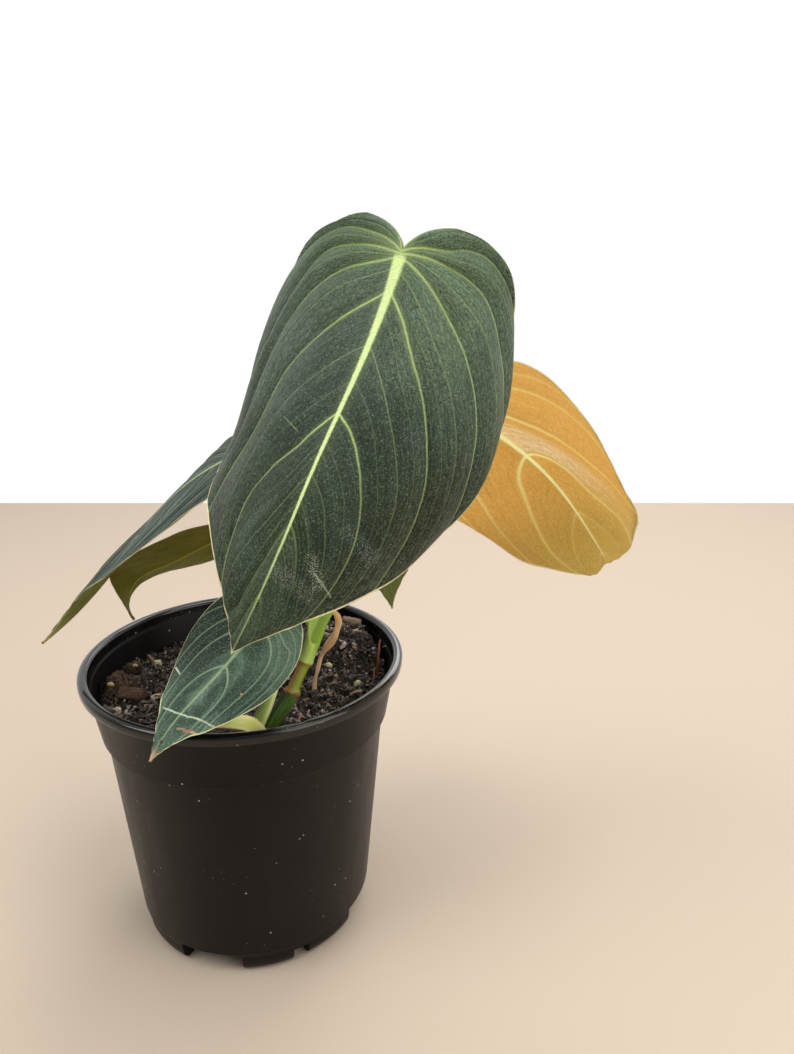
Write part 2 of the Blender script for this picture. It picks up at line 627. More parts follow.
def blade_shader(name, look, length, marks=()):
    """Skin of one face of a blade. Light comes through it where the look says so."""
    sh = Shader(name)
    s, t, gap = sh.parts("vein")
    x, y, edge = sh.parts("spot")
    here = sh.where()
    grain = sh.noise(here, look.grain_scale, 2, 0.7)
    scale = sh.cells(sh.combine(s * look.scale_s, t * look.scale_t), 1, "DISTANCE_TO_EDGE")
    main, second, strand, veins, beside = blade_veins(sh, look, here, s, t, gap)
    rib, glow = blade_rib(sh, look, here, x, y, length)
    skin = blade_ground(sh, look, here, s, t, x, y, grain, scale)
    skin = sh.mix(sh.math("MAXIMUM", glow, beside), skin, look.vein)
    skin = sh.mix(veins, skin, sh.mix(t.fall(0, 0.4), look.vein_far, look.vein))
    skin = sh.mix(rib, skin, sh.mix(grain.step(0.4, 0.65), look.rib, look.rib_2))
    margin = (edge + (grain - 0.5) * 0.5).fall(look.margin_mm, look.margin_mm + 0.3)
    skin = sh.mix(margin * 0.85, skin, look.margin)
    if look.tip:
        skin = sh.mix(y.step(length * look.tip_from, length * 0.99, 0, 0.9), skin, look.tip)
    for start, end, width, share, colour, *speckled in marks:
        mask = mark_mask(sh, x, y, start, end, width, share)
        if speckled:
            mask = mask * sh.noise(here, 3200, 1).step(0.55, 0.62)
        skin = sh.mix(mask, skin, colour)
    height = grain * 0.5 + scale.step(0, 0.3) * t.step(0, 0.12) * 0.5
    height = height + (second * 0.6 - main * 0.2) * -0.7 + rib * 0.8 + strand * 1.5
    normal = sh.bump(height, look.bump, 0.0004)
    sh.set(
        color=skin, rough=look.rough, specular=look.specular, normal=normal, sheen=look.sheen,
        sheen_rough=0.4, sheen_tint=(0.8, 0.9, 0.8),
    )
    if look.through:
        lit = {"Color": look.through_colour or skin, "Normal": normal}
        shine = sh.node("ShaderNodeBsdfTranslucent", lit).outputs[0]
        both = sh.node("ShaderNodeMixShader", [look.through, sh.bsdf.outputs[0], shine])
        sh.link(both.outputs[0], sh.tree.nodes["Material Output"].inputs["Surface"])
    return sh.owner


# What both faces of a blade start from. Most are shares from 0 to 1, and names with mm are widths.
# late and late_from: veins near the tip. fade: veins towards the margin. flow and bleed: how far and how
# much of their colour lies beside them. taper, knot and rib_end: the midrib from stalk to tip.
# streaks, scales, pits, grain and dust: strength of each layer of the skin. through: light let through.
SKIN = dict(
    late=0.4, fade=0.55, second=0.3, third=0.12, strand=0.1, flow=0.45, bleed=0.22, late_from=4.6,
    taper=1.3, rib_end=0.2, rib_fade=0.35, knot_mm=0, glow=0.22, streaks=0, streak_s=5, streak_fine=3,
    streak_deep=0, zones=None, scale_s=9, scale_t=26, scales=0.3, scales_out=None, grain_scale=2600,
    pits=0.5, grain=0.45, dust=0.35, margin_mm=0.4, tip=None, tip_from=0.93, bump=0.45, rough=0.55,
    specular=0.3, sheen=0.12, through=0, through_colour=None,
)
GREEN_TOP = dict(
    SKIN, ground="#283628", ground_2="#384640", ground_3="#3a3c2c", dark="#141c14", fleck="#687864",
    dust_colour="#aab4a5", vein="#a8be76", vein_far="#7e9068", rib="#c4d692", rib_2="#b0c678",
    margin="#c8b284", vein_mm=0.62, rib_mm=1.3,
)
GREEN_BELOW = dict(
    SKIN, ground="#606838", ground_2="#525c32", ground_3="#6c7042", dark="#424828", fleck="#8c9060",
    dust_colour="#aab496", vein="#96a050", vein_far="#828c46", rib="#a8b458", rib_2="#96a44a",
    margin="#ded0a0", vein_mm=0.8, rib_mm=1.3, rough=0.5, bump=0.35, through=0.25, scales=0.2, grain=0.15,
    pits=0.15, dust=0.0,
)


def variant(base, **changes):
    """A look that starts from a base and changes some of it."""
    return SimpleNamespace(**{**base, **changes})


def top_zones(sh, s, t, x, y, spread):
    """Fields of grey green, olive and shade, by their place in mm on the flat blade."""
    blue = abs(x).fall(3, 22) * y.fall(20, 70)
    olive = t.step(0.4, 0.8) * spread.step(0.45, 0.6)
    pale = x.between(2, 34, 10) * y.fall(14, 44)
    deep = x.between(2, 26, 8) * y.between(66, 104, 14)
    upper = y.step(44, -4)
    middle = x.between(-22, 48, 12) * y.between(34, 88, 16)
    lobes = y.step(9, -5) * x.step(4, 14, 1, 0.4)
    brink = x.step(32, 46) * y.step(60, 30)
    left = x.between(-44, -12, 8) * y.between(16, 58, 12)
    shade = x.between(30, 60, 9) * y.between(22, 84, 14)
    low_left = x.step(-26, -44) * y.between(44, 92, 14)
    return (
        ("#44564c", blue * 0.4),
        ("#3e4228", olive * 0.5),
        ("#687c60", pale * 0.42),
        ("#688468", upper * 0.34),
        ("#202a20", middle * 0.26),
        ("#1e281e", deep * 0.55),
        ("#567054", lobes * 0.6),
        ("#50664c", brink * 0.35),
        ("#788c7e", left * 0.2),
        ("#222818", shade * 0.28),
        ("#222818", low_left * 0.5),
    )


def orange_zones(sh, s, t, x, y, spread):
    """Paler above, duller below, with a silver field between two veins and a dull margin."""
    high = x.step(-2, -30)
    low_end = y.step(55, 105)
    silver = s.step(4.15, 4.6) * s.step(5, 4.9) * x.step(0, -1.5) * y.step(50, 82, 1, 0.25)
    lines = sh.noise(sh.combine(s * 16, t * 1.4), 1, 2).step(0.34, 0.6, 0.3, 0.9)
    return (
        ("#f2bc68", high * 0.8),
        ("#c0ae5c", low_end * 0.65),
        ("#fce4bc", silver * lines),
        ("#9e8c44", t.step(0.92, 1, 0, 0.6) * x.step(2, -4)),
    )


def low_top_zones(sh, s, t, x, y, spread):
    """Darker half beside the stalk end, and a silvery length of midrib."""
    deep = x.step(0, -8) * y.step(42, 18)
    lit = x.step(2, 9) * y.step(26, 8)
    bright = abs(x).step(3, 0.4) * y.between(20, 42, 6)
    return (("#18241d", deep * 0.85), ("#78927a", lit * 0.35), ("#849e8c", bright * 0.45))


def brown_zones(sh, s, t, x, y, spread):
    """A brown corner near the tip."""
    return (("#b27628", x.step(9, 22) * y.step(44, 58)),)


LOOKS = {
    "front": (
        variant(
            GREEN_TOP, zones=top_zones, ground="#263624", ground_2="#364638", fleck="#869a7a", pits=0.85,
            grain=0.5, grain_scale=2000, late=0.3, rib="#d8eaa6", rib_2="#c4da8e", margin="#e6d8a6",
            margin_mm=0.7, specular=0.22, vein_mm=0.48, rib_mm=1.45, taper=1.55, knot_mm=0.5,
            rib_end=0.05, rib_fade=0.25, streaks=0.4, streak="#5c6c58", scale_s=12.0, scale_t=34.0,
            scales=0.4, scales_out=0.9, bump=0.6, streak_deep=0.5, vein_far="#92a670", fade=0.42,
        ),
        variant(GREEN_BELOW),
    ),
    "right": (
        variant(
            GREEN_TOP, ground="#78542a", ground_2="#866030", ground_3="#926e3c", dark="#5a3c1e",
            fleck="#b49664", vein="#beaa5a", vein_far="#aa9650", through=0.6, through_colour="#f0eede",
        ),
        variant(
            GREEN_BELOW, ground="#eeb660", ground_2="#e4b056", ground_3="#f0c476", dark="#ba883e",
            fleck="#fadc9c", vein="#fef6aa", vein_far="#fae292", rib="#fffecc", rib_2="#fffab0",
            margin="#fff8e2", margin_mm=0.55, vein_mm=0.9, rib_mm=1.35, taper=1.0, rib_end=0.25,
            second=0.15, third=0.05, strand=0.04, late=0.25, zones=orange_zones, through=0.7, scales=0.2,
            bleed=0.5, flow=1.2, late_from=5.1, streak_deep=0.4, grain=0.4, pits=0.4, grain_scale=1500,
            streaks=0.35, streak="#d4a450",
        ),
    ),
    "left": (
        variant(
            GREEN_TOP, ground="#1c2821", ground_2="#2a362c", ground_3="#364238", fleck="#546258",
            vein="#5a6a50", vein_far="#4a5c44", rib="#92a276", rib_2="#7c8e60", vein_mm=0.5, rib_mm=0.7,
            margin="#ccbe8c", tip="#c8a078", tip_from=0.96, specular=0.12, sheen=0.04, streaks=0.65,
            streak="#92a696", streak_s=9.0, streak_deep=0.5, margin_mm=0.5,
        ),
        variant(
            GREEN_BELOW, ground="#babe62", ground_2="#a6ac56", ground_3="#acae60", tip="#e2c484",
            tip_from=0.88, through=0.4,
        ),
    ),
    "back_left": (
        variant(GREEN_TOP, ground="#323822", through=0.4, through_colour="#cece80"),
        variant(
            GREEN_BELOW, ground="#8e883e", ground_2="#9e9848", ground_3="#a69e54", dark="#645e2c",
            vein="#b4ac4a", vein_far="#9c9442", rib="#d6d65c", rib_2="#c4c652", zones=brown_zones,
            vein_mm=0.5, rib_mm=0.8, margin="#bea65c", through=0.42, second=0.1, third=0.0, strand=0.03,
        ),
    ),
    "back": (
        variant(GREEN_TOP, through=0.4, through_colour="#bed28c"),
        variant(
            GREEN_BELOW, ground="#bac282", ground_2="#aab476", vein_mm=0.5, rib_mm=0.7, third=0.0,
            strand=0.03, margin="#cece96", margin_mm=0.5,
        ),
    ),
    "low": (
        variant(
            GREEN_TOP, specular=0.22, ground="#304838", ground_2="#425c4a", ground_3="#526a5a",
            fleck="#8aa08a", vein="#96ae8e", vein_far="#88a084", rib="#96ae84", rib_2="#7a946e",
            vein_mm=0.5, strand=0.0, rib_mm=0.5, margin="#dedeaa", margin_mm=0.48, tip="#cea086",
            tip_from=0.92, late=0.12, second=0.15, third=0.0, bleed=0.2, streak_deep=0.4, glow=0.12,
            grain=0.65, grain_scale=2200, pits=0.7, streaks=0.5, streak_s=2.4, streak_fine=1,
            streak="#76907c", zones=low_top_zones,
        ),
        variant(GREEN_BELOW),
    ),
}
# Scratches and spots: start and end in mm on the flat blade, width, share, colour, and True if speckled
MARKS = {
    "front": (
        ((-17.3, 51.9), (-10.6, 54.4), 0.35, 0.35, "#96a480"),
        ((11.1, 88.5), (18.3, 93.2), 0.4, 0.4, "#b4c2a6"),
        ((9.0, 85.4), (13.5, 91.0), 2.4, 0.55, "#bec8b4", True),
        ((2.0, 92.4), (12.5, 95.0), 3.4, 0.3, "#b4bea8", True),
        ((16.0, 74.4), (24.5, 79.0), 3.6, 0.45, "#96a69c", True),
    ),
    "low": (
        ((-8.5, 43.4), (0.2, 42.1), 0.42, 0.85, "#c4d0b4"),
        ((0.2, 42.1), (6.8, 40.1), 0.42, 0.85, "#beccae"),
        ((6.8, 40.1), (12.6, 39.3), 0.42, 0.75, "#b8c6a6"),
        ((-15.6, 31.4), (-12.8, 32.2), 0.45, 0.85, "#c8d2b8"),
        ((2.6, 46.1), (4.4, 45.0), 0.5, 0.7, "#a48c6e"),
        ((5.0, 45.4), (7.4, 44.6), 0.8, 0.75, "#a87a62"),
        ((7.6, 44.6), (9.2, 44.2), 0.5, 0.8, "#c4a280"),
        ((0.3, 51.7), (0.5, 51.9), 0.6, 0.9, "#3c2218"),
        ((10.3, 26.6), (10.4, 26.7), 0.45, 0.95, "#d6963c"),
        ((11.2, 28.0), (11.3, 28.1), 0.25, 0.7, "#aa7c40"),
    ),
}

for name, (above, under) in LOOKS.items():
    size = LEAVES[name]["length"]
    pair = [
        blade_shader(f"upper_{name}", above, size, MARKS.get(name, ())),
        blade_shader(f"under_{name}", under, size),
    ]
    piece = blade(name, pair, columns=40 if name == "front" else 28)
    belongs(piece, f"leaf_{name}")

# Stem, stalks, sheaths
# Routes of the limbs: place and radius at each station
STEM = [
    (9.2, -38.8, 79, 2.2), (11.4, -37.6, 90, 2.7), (15.6, -35.8, 99, 3), (20, -34, 105.6, 2.8),
    (22.2, -33, 108.6, 3), (23, -32.4, 110.6, 2.2), (24.5, -31.3, 114, 2), (25.9, -30.2, 117, 2.1),
    (26.7, -29.7, 118.6, 2.6), (27.7, -29, 121, 2.4), (29.7, -27.5, 127, 2.8), (31.7, -25.7, 133.5, 3),
    (34.3, -23.1, 143, 2.9), (36.5, -20.6, 152, 2.5),
]
STALKS = {
    "front": [
        (36, -21.2, 150, 1.9), (39, -25, 172, 1.8), (42.5, -28, 198, 1.7), (48.5, -28.5, 224, 1.7),
        (54, -31, 238, 1.7),
    ],
    "right": [
        (28.8, -28.3, 124, 1.6), (38, -34.5, 144, 1.6), (52, -36, 168, 1.6), (66, -30, 186, 1.6),
        (72, -18, 196, 1.6),
    ],
    "left": [(34.8, -22.6, 145, 1.6), (27, -16, 158, 1.6), (14, -9, 168, 1.5), (6, -4, 174, 1.5)],
    "back_left": [(30.4, -27.1, 128.5, 1.5), (22, -18, 137, 1.4), (11, -5, 142, 1.3), (4.5, 5, 145.5, 1.3)],
    "back": [(34, -23.6, 141, 1.6), (38.9, -17, 151, 1.5), (40.6, -14, 168, 1.4), (39, -13, 186, 1.4)],
    "low": [(5.4, -41.4, 84, 2.2), (9.2, -40.6, 96, 2.4), (15, -38.6, 109, 2.1), (18.2, -36.2, 121, 1.6)],
}
STALK_TIP = 1.4


def stalk_end(leaf):
    """The last stations of a stalk, which comes up to the blade from behind it."""
    _, centre, tangent, upper, _ = midrib_of(leaf)
    end = centre[0] + tangent[0] * STALK_TIP
    return [(*(end - upper[0] * behind), STALK_TIP) for behind in (8.5, 4.5, 1.5)]


def limb_shader(name, ground, streak, spot, zones=None, rough=0.4):
    """Skin of a round limb, streaked along its length. zones adds colours by share and angle."""
    sh = Shader(name)
    run, angle, share = sh.parts("limb")
    wrap = sh.combine(sh.math("COSINE", angle), sh.math("SINE", angle), run * 0.045)
    lines = sh.noise(sh.stretch(wrap, (5, 5, 1)), 2.2, 4, 0.6)
    dots = sh.noise(sh.where(), 1400, 2, 0.6)
    skin = sh.mix(lines.step(0.35, 0.65), ground, streak)
    skin = sh.mix(dots.step(0.6, 0.72) * 0.5, skin, spot)
    rag = (lines - 0.5) * 0.03 + share
    for colour, mask in zones(sh, rag, angle, lines) if zones else ():
        skin = sh.mix(mask, skin, colour)
    normal = sh.bump(lines + dots * 0.3, 0.4, 0.0005)
    return sh.set(color=skin, rough=rough, normal=normal, specular=0.4)


def facing(angle, middle, low, high):
    """1 on the side of a limb that looks to an angle: 0 is left, a quarter turn is front."""
    return angle.shader.math("COSINE", angle - middle).step(low, high)


def stem_zones(sh, share, angle, lines):
    """Pale band over the upper ring, olive middle with a brown left side, dark green lower length."""
    middle = share.fall(0.595, 0.61)
    lower = share.fall(0.305, 0.325)
    ring = share.between(0.575, 0.625, 0.012)
    return (
        ("#86aa3c", facing(angle, 3, 0.2, 0.9)),
        ("#bad478", share.between(0.6, 0.74, 0.05) * 0.5),
        ("#8e9a36", middle),
        ("#b0783e", middle * facing(angle, 0.55, 0.66, 0.92) * lines.step(0.3, 0.55)),
        ("#707622", middle * facing(angle, 3.2, 0.5, 0.9)),
        ("#3a5822", lower),
        ("#789a42", lower * lines.step(0.46, 0.62, 0, 0.8)),
        ("#223016", lower * facing(angle, 0.2, 0.4, 0.95)),
        ("#96683e", ring * lines.step(0.38, 0.55)),
        ("#784c30", share.between(0.29, 0.335, 0.012) * lines.step(0.4, 0.5)),
    )


def base_zones(sh, share, angle, lines):
    """Brighter at the stem."""
    return (("#92b646", share.step(0.2, 0.02)),)


def low_zones(sh, share, angle, lines):
    """A lit left side and a greener right one."""
    return (
        ("#ecf4aa", facing(angle, 0.3, 0.1, 0.8) * 0.9),
        ("#8ca84e", facing(angle, 3.3, 0.3, 0.9) * 0.8),
    )


def sheath_zones(sh, share, angle, lines):
    """Pale rims, a greener middle and a brown lower edge."""
    low_edge = facing(angle, 0.1, 0.78, 0.93) * share.between(0.3, 0.95, 0.08)
    return (
        ("#dee47c", facing(angle, 1.57, 0.75, 0.98)),
        ("#f0e28c", share.step(0.3, 0.14)),
        ("#e8ceaa", facing(angle, 0.1, 0.6, 0.8) * share.step(0.5, 0.8)),
        ("#603e28", low_edge),
    )


def dry_zones(sh, share, angle, lines):
    """Tan at the top, reddish in the middle, pale along both rims."""
    rim = sh.math("MAXIMUM", facing(angle, 3.14, 0.8, 0.95), facing(angle, 0, 0.85, 0.97))
    return (
        ("#cea05e", share.step(0.6, 0.8) * 0.75),
        ("#c48454", share.between(0.34, 0.66, 0.1) * lines.step(0.42, 0.6, 0, 0.8)),
        ("#ffe6cc", rim * 0.85),
    )


stalk_green = limb_shader("stalk_green", "#7ea23e", "#98ba56", "#b8ce84", base_zones)
stalk_low = limb_shader("stalk_low", "#deec8c", "#eaf2a4", "#f4f8c8", low_zones)
stem_green = limb_shader("stem_green", "#accc56", "#c2de70", "#d6e69c", stem_zones)
sheath_pale = limb_shader("sheath_pale", "#f0ec8c", "#f6f2a6", "#faf6cc", sheath_zones)
sheath_dry = limb_shader("sheath_dry", "#ecb884", "#f8d6ac", "#be8256", dry_zones, 0.5)
fibre_red = limb_shader("fibre_red", "#783e2e", "#9e5a44", "#542a20", None, 0.6)
hair_brown = limb_shader("hair_brown", "#966442", "#b28058", "#784c32", None, 0.65)
for name, route in STALKS.items():
    skin = stalk_low if name == "low" else stalk_green
    made = tube_object(f"stalk_{name}", route + stalk_end(LEAVES[name]), skin, ref=(-0.6, 0.5, 0.1))
    belongs(made, f"petiole_{name}")

belongs(tube_object("stem_limb", STEM, stem_green, sides=28, ref=(0, -1, 0)), "stem")

CATAPHYLL = [
    (15.5, -42.6, 92, 1.2), (13, -43.4, 98, 2.6), (9.5, -45, 103, 3.6), (4, -47.4, 105.6, 3.2),
    (-2, -49.4, 106, 1.9), (-7, -50.4, 105.4, 0.5),
]
DRY_SHEATH = [
    (26.6, -6.4, 88, 0.7), (26.9, -6.8, 97.5, 0.8), (28.3, -7.8, 104, 0.72), (30, -8.8, 110.5, 0.85),
    (32.9, -9.8, 115.4, 1.6), (35.6, -11, 120.4, 1.35), (36.9, -12.4, 125.8, 1.2),
    (36.1, -15.2, 130.2, 1.1), (34.5, -18.4, 133, 0.8),
]
ROOT_FIBRE = [(50.2, 4, 93, 0.5), (50.4, 4.3, 99, 0.48), (50.8, 6, 104.5, 0.46), (51.2, 8.5, 109, 0.3)]


def ruffle(size, turns, waves):
    """An uneven edge for a sheath or a root."""
    return lambda u, angle: size * np.sin(u * waves + 1.3 * np.sin(angle * turns)) * np.cos(angle * turns)


made = tube_object(
    "sheath_leaf_pale", CATAPHYLL, sheath_pale,
    sides=28, flat=0.22, ref=(-0.3, -0.5, 1), swell=ruffle(0.12, 2, 21),
)
belongs(made, "cataphyll")
made = tube_object(
    "sheath_leaf_dry", DRY_SHEATH, sheath_dry, flat=0.5, ref=(0.5, -1, 0.3), swell=ruffle(0.16, 2, 27),
)
belongs(made, "dry_sheath")
made = tube_object("root_red", ROOT_FIBRE, fibre_red, sides=12, swell=ruffle(0.1, 1, 24))
belongs(made, "root_fibre")


def strands(name, material, paths, sides=5, steps=4):
    """Many thin tubes as one mesh."""
    points, quads, caps, facts, start = [], [], [], [], 0
    for path in paths:
        p, q, c, f = tube(path, sides=sides, steps=steps)
        points.append(p)
        quads.append(q + start)
        caps.append(c + start)
        facts.append(f)
        start += len(p)
    points, quads, caps, facts = map(np.concatenate, (points, quads, caps, facts))
    made = mesh_object(name, points, [quads, caps], {"limb": facts}, [material])
    belongs(made, None)


def ring_hairs(seed, centre, axis, radius, count, reach, thick):
    """Short curled remnants that start on a ring of the stem."""
    draw = np.random.default_rng(seed)
    axis = np.array(axis, float) / np.linalg.norm(axis)
    one = np.cross(axis, (0, 1, 0))
    one /= np.linalg.norm(one)
    two = np.cross(axis, one)
    paths = []
    for _ in range(count):
        a = draw.uniform(0, 2 * np.pi)
        bend_by = draw.uniform(0.3, 1.4) * draw.choice((-1, 1))
        rise = draw.uniform(-0.8, 0.8)
        path = []
        for k in range(4):
            b = a + bend_by * k / 3
            r = radius * (0.96 + 0.05 * k) + 0.25 * reach * (k == 3)
            spot = np.array(centre) + (one * np.cos(b) + two * np.sin(b)) * r + axis * rise * k / 3 * reach
            path.append((*spot, thick * (1 - 0.2 * k)))
        paths.append(path)
    return paths


STEM_LEAN = (1.0, 0.9, 2.6)
hairs = ring_hairs(5, (22.2, -33, 108.8), STEM_LEAN, 3.0, 10, 1.5, 0.3)
hairs += ring_hairs(6, (26.9, -29.7, 118.7), STEM_LEAN, 2.4, 6, 1.3, 0.26)
hanging = [
    (24.9, -29.5, 119.2, 0.5), (24.6, -30.6, 117.4, 0.75), (23.9, -31.2, 115.2, 0.5),
    (23.2, -31.8, 113.4, 0.25),
]
strands("ring_remnants", hair_brown, hairs + [hanging])

# Pot
# Radius and height, from the middle of the foot up the outside and down the inside
POT_PROFILE = [
    (0, 0), (41.5, 0), (42.6, 0.45), (43.4, 1.3), (44.1, 2.6), (44.5, 4), (44.75, 6.4), (44.9, 8.3),
    (45.1, 8.6), (45.4, 8.8), (45.5, 9.3), (52.1, 83.4), (52.5, 84.3), (53.4, 84.9), (53.9, 85.2),
    (57, 103), (57.3, 103.7), (58, 104), (59.3, 104.1), (59.85, 104.5), (60, 105.1), (60, 106.8),
    (59.75, 107.4), (59.2, 107.8), (58.4, 108), (57.6, 107.95), (57, 107.7), (56.5, 107.2),
    (56.3, 106.5), (56.1, 103.6), (55.95, 103.2), (55.5, 102.7), (55.4, 102.4), (52.65, 86.3),
    (52.3, 85.2), (51, 84), (44.1, 9.6), (43.6, 8.4), (42.6, 5.6), (41.1, 3.2), (39.5, 2), (0, 2),
]
POT_SIDES = 192
RIM_FOOT_M = 0.1036
NOTCH_RADII = (49.5, 35.5)
# The notches of one quarter of the foot: middle and width in degrees, and height
NOTCHES = {"wide": (-103.5, 31, 8.3), "slim": (-59.5, 8, 6.0)}


def lathe(profile, sides):
    """A turned shell whose profile starts and ends on the axis."""
    angle = np.arange(sides) / sides * 2 * np.pi
    radius, z = np.array(profile[1:-1]).T
    walls = [np.outer(radius, np.cos(angle)), np.outer(radius, np.sin(angle)), np.outer(z, np.ones(sides))]
    start, end = (0, 0, profile[0][1]), (0, 0, profile[-1][1])
    points = np.concatenate([[start], np.stack(walls, -1).reshape(-1, 3), [end]])
    last = len(points) - 1
    k = np.arange(sides)
    after = np.roll(k, -1)
    first_fan = np.stack([0 * k, 1 + after, 1 + k], 1)
    last_fan = np.stack([last - sides + k, last - sides + after, 0 * k + last], 1)
    return points, [ring_quads(len(radius) - 1, sides, 1), first_fan, last_fan]


def pot_shader():
    """Black plastic with a faint film and specks of dust, glossy on the rim only."""
    sh = Shader("pot_plastic_black")
    here = sh.where()
    soft = sh.noise(here, 30, 4, 0.6)
    fine = sh.noise(here, 900, 3, 0.6)
    film = sh.noise(sh.stretch(here, (1, 1, 0.25)), 120, 4, 0.6)
    specks = sh.math("LESS_THAN", sh.cells(here, 210), 0.07)
    few = sh.noise(here, 45, 2).step(0.5, 0.62)
    small = sh.math("LESS_THAN", sh.cells(here, 620), 0.09) * sh.noise(here, 80, 3).step(0.55, 0.7)
    dust = sh.math("MAXIMUM", specks * few, small)
    rim = sh.split(here)[2].step(RIM_FOOT_M, RIM_FOOT_M + 0.0006)
    ground = sh.mix(soft.step(0.3, 0.7), "#0b0a0b", "#130f0e")
    ground = sh.mix(film.step(0.5, 0.8) * 0.25, ground, "#28211c")
    skin = sh.mix(dust * 0.75, ground, "#beb8b0")
    rough = film * 0.25 + dust * 0.4 + rim * -0.2 + 0.26
    normal = sh.bump(fine + dust * 2, 0.08, 0.0004)
    return sh.set(color=skin, rough=rough, normal=normal, specular=0.15, coat=rim * 0.6, coat_rough=0.1)


def notch_cutter(name, middle, width, height):
    """A curved block that cuts one notch into the foot."""
    turn = np.radians(np.linspace(middle - width / 2, middle + width / 2, 17))
    turn = np.concatenate([turn, turn[::-1]])
    radius = np.repeat(NOTCH_RADII, 17)
    x, y = radius * np.cos(turn), radius * np.sin(turn)
    low = np.stack([x, y, np.full(len(x), -1.0)], 1)
    high = np.stack([x, y, np.full(len(x), height)], 1)
    k = np.arange(len(x))
    after = np.roll(k, -1)
    walls = np.stack([k, after, len(x) + after, len(x) + k], 1)
    return mesh_object(name, np.concatenate([low, high]), [np.stack([k[::-1], len(x) + k]), walls])


points, faces = lathe(POT_PROFILE, POT_SIDES)
shell = mesh_object("pot_shell", points, faces, None, [pot_shader()])
cutters = [
    notch_cutter(f"cut_{kind}_{quarter}", middle + quarter * 90, width, height)
    for quarter in range(4) for kind, (middle, width, height) in NOTCHES.items()
]
for cutter in cutters:
    cut = shell.modifiers.new(cutter.name, "BOOLEAN")
    cut.operation = "DIFFERENCE"
    cut.solver = "EXACT"
    cut.object = cutter
depsgraph = bpy.context.evaluated_depsgraph_get()
cut_mesh = bpy.data.meshes.new_from_object(shell.evaluated_get(depsgraph))
shell.modifiers.clear()
shell.data = cut_mesh
cut_mesh.polygons.foreach_set("use_smooth", np.ones(len(cut_mesh.polygons), bool))
cut_mesh.set_sharp_from_angle(angle=math.radians(38))
for cutter in cutters:
    bpy.data.objects.remove(cutter)
belongs(shell, "pot")

# Soil
SOIL_LEVEL = 95
SOIL_RADIUS = 53.2
SOIL_SIDES = 120
SOIL_RINGS = 45
CRUMB_RADIUS = 53.6
POT_INSIDE = 54.2
LIMB_FOOT = 108
# Colours of the crumbs by the tone at which each starts
CRUMB_DARK = "#141211"
CRUMB_TONES = {0.35: "#302a26", 0.58: "#564a42", 0.76: "#7e6c60", 0.9: "#a08a7a", 0.97: "#beac9a"}
rng = np.random.default_rng(11)


def soil_height(x, y):
    """Height of the solid mix of the CAD at a place."""
    heap = 10 * np.exp(-(((x - 38) / 24) ** 2) - ((y - 30) / 22) ** 2)
    dip = -3 * np.exp(-(((x + 32) / 18) ** 2) - ((y - 26) / 18) ** 2)
    front = 1.5 * np.exp(-(((x - 12) / 22) ** 2) - ((y + 40) / 10) ** 2)
    lumps = 0.9 * np.sin(0.53 * x + 0.31 * y) * np.cos(0.47 * y - 0.22 * x + 1)
    crumbs = 0.6 * np.sin(1.13 * x - 0.71 * y + 2) * np.sin(0.93 * y + 0.37 * x)
    return SOIL_LEVEL + heap + dip + front + lumps + crumbs


def soil_shader():
    """Dark damp mix under the crumbs."""
    sh = Shader("potting_mix_dark")
    here = sh.where()
    big = sh.noise(here, 160, 5, 0.7)
    fine = sh.noise(here, 900, 4, 0.7)
    skin = sh.mix(big.step(0.35, 0.7), "#161210", "#3a2d26")
    skin = sh.mix(fine.step(0.55, 0.75) * 0.6, skin, "#544236")
    normal = sh.bump(big + fine * 0.5, 1, 0.002)
    return sh.set(color=skin, rough=0.85, normal=normal, specular=0.25)


def crumb_shader(name, gloss):
    """Crumbs from near black to pale, by a tone of their own and a slow noise."""
    sh = Shader(name)
    here = sh.where()
    tone = Value(sh, sh.node("ShaderNodeAttribute", attribute_name="tone"), "Fac")
    tone = tone + sh.noise(here, 130, 2) * 1.3 - 0.68
    fine = sh.noise(here, 1500, 4, 0.7)
    skin = CRUMB_DARK
    for start, colour in CRUMB_TONES.items():
        skin = sh.mix(tone.step(start - 0.02, start + 0.02), skin, colour)
    skin = sh.mix(fine.step(0.5, 0.75) * 0.5, skin, "#76665a")
    normal = sh.bump(fine, 0.7, 0.0006)
    return sh.set(color=skin, rough=gloss, normal=normal, specular=0.5)


angle = np.arange(SOIL_SIDES) / SOIL_SIDES * 2 * np.pi
radii = np.linspace(0, SOIL_RADIUS, SOIL_RINGS + 1)[1:]
grid_x = np.concatenate([[0], np.outer(radii, np.cos(angle)).ravel()])
grid_y = np.concatenate([[0], np.outer(radii, np.sin(angle)).ravel()])
grid_z = soil_height(grid_x, grid_y) - 0.5
grid_z += 0.35 * np.sin(grid_x * 2.9 + grid_y * 1.7) * np.sin(grid_y * 3.1 - grid_x * 1.3)
k = np.arange(SOIL_SIDES)
tris = np.stack([0 * k, 1 + k, 1 + np.roll(k, -1)], -1)
quads = ring_quads(SOIL_RINGS - 1, SOIL_SIDES, 1)[:, [0, 3, 2, 1]]
points = np.stack([grid_x, grid_y, grid_z], 1)
belongs(mesh_object("soil_top", points, [quads, tris], None, [soil_shader()]), "soil")


def icosphere(subdivisions):
    """Points and triangles of a ball of radius 1."""
    ball = bmesh.new()
    bmesh.ops.create_icosphere(ball, subdivisions=subdivisions, radius=1.0)
    points = np.array([v.co for v in ball.verts])
    faces = np.array([[v.index for v in f.verts] for f in ball.faces])
    ball.free()
    return points, faces


def turn_matrix():
    """A turn at random."""
    return np.array(Quaternion(rng.normal(size=4)).normalized().to_matrix())


